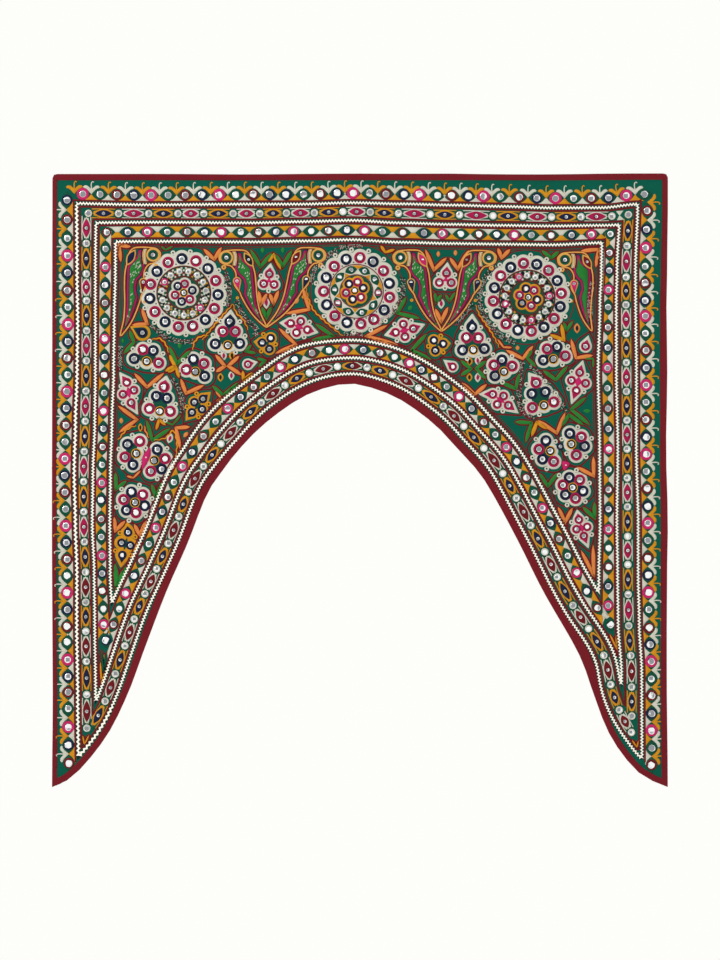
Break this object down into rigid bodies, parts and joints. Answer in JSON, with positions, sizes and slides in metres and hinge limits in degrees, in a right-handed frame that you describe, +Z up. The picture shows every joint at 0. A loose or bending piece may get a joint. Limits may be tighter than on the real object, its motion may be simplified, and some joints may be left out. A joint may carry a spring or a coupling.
{
  "type": "embroidered doorway toran",
  "caption": "Hanging for the top and sides of a doorway: green cotton cut to a pointed arch, bound in maroon and covered in mirror embroidery and white zigzag braid.",
  "frame": {"origin": "middle of the top edge, at half the thickness of the cloth", "axes": "+Z up along the drop of the hanging, +X along the top edge to the viewer's right, the embroidered face looks along -Y"},
  "size_m": [1.0778, 0.0088, 1.0739],
  "materials": {
    "green_cotton": "plain woven green cotton, matt, covered in coloured stitching",
    "maroon_cotton": "fine plain woven maroon cotton, matt, folded over the edge",
    "white_braid": "white cotton zigzag braid, matt",
    "mirror_glass": "thin silvered glass, slightly domed",
    "white_thread": "off-white cotton thread, close satin and herringbone stitches",
    "yellow_thread": "orange-yellow floss, close satin stitches with a soft sheen",
    "peach_thread": "light orange floss, close stitches and chain stitch",
    "leaf_thread": "leaf green floss, close stitches",
    "green_thread": "deep green floss, close stitches around the mirrors",
    "magenta_thread": "magenta floss, buttonhole and satin stitches",
    "pink_thread": "hot pink floss, satin stitches",
    "navy_thread": "navy floss, buttonhole stitches",
    "black_thread": "near black thread, buttonhole stitches",
    "maroon_thread": "maroon thread, chain stitch lines"
  },
  "bodies": {
    "root": {"ground_panel": "green_cotton", "binding_top": "maroon_cotton", "binding_left": "maroon_cotton", "binding_right": "maroon_cotton", "binding_arch": "maroon_cotton", "zigzag_outer": "white_braid", "zigzag_middle": "white_braid", "zigzag_inner": "white_braid", "mirror_left_01": "mirror_glass", "mirror_left_02": "mirror_glass", "mirror_left_03": "mirror_glass", "mirror_left_04": "mirror_glass", "mirror_left_05": "mirror_glass", "mirror_left_06": "mirror_glass", "mirror_left_07": "mirror_glass", "mirror_left_08": "mirror_glass", "mirror_left_09": "mirror_glass", "mirror_left_10": "mirror_glass", "mirror_left_11": "mirror_glass", "mirror_left_12": "mirror_glass", "mirror_left_13": "mirror_glass", "mirror_left_14": "mirror_glass", "mirror_left_15": "mirror_glass", "mirror_middle_01": "mirror_glass", "mirror_middle_02": "mirror_glass", "mirror_middle_03": "mirror_glass", "mirror_middle_04": "mirror_glass", "mirror_middle_05": "mirror_glass", "mirror_middle_06": "mirror_glass", "mirror_middle_07": "mirror_glass", "mirror_middle_08": "mirror_glass", "mirror_middle_09": "mirror_glass", "mirror_middle_10": "mirror_glass", "mirror_middle_11": "mirror_glass", "mirror_middle_12": "mirror_glass", "mirror_middle_13": "mirror_glass", "mirror_middle_14": "mirror_glass", "mirror_middle_15": "mirror_glass", "mirror_right_01": "mirror_glass", "mirror_right_02": "mirror_glass", "mirror_right_03": "mirror_glass", "mirror_right_04": "mirror_glass", "mirror_right_05": "mirror_glass", "mirror_right_06": "mirror_glass", "mirror_right_07": "mirror_glass", "mirror_right_08": "mirror_glass", "mirror_right_09": "mirror_glass", "mirror_right_10": "mirror_glass", "mirror_right_11": "mirror_glass", "mirror_right_12": "mirror_glass", "mirror_right_13": "mirror_glass", "mirror_right_14": "mirror_glass", "mirror_right_15": "mirror_glass", "mirror_right_16": "mirror_glass"}
  },
  "joints": []
}
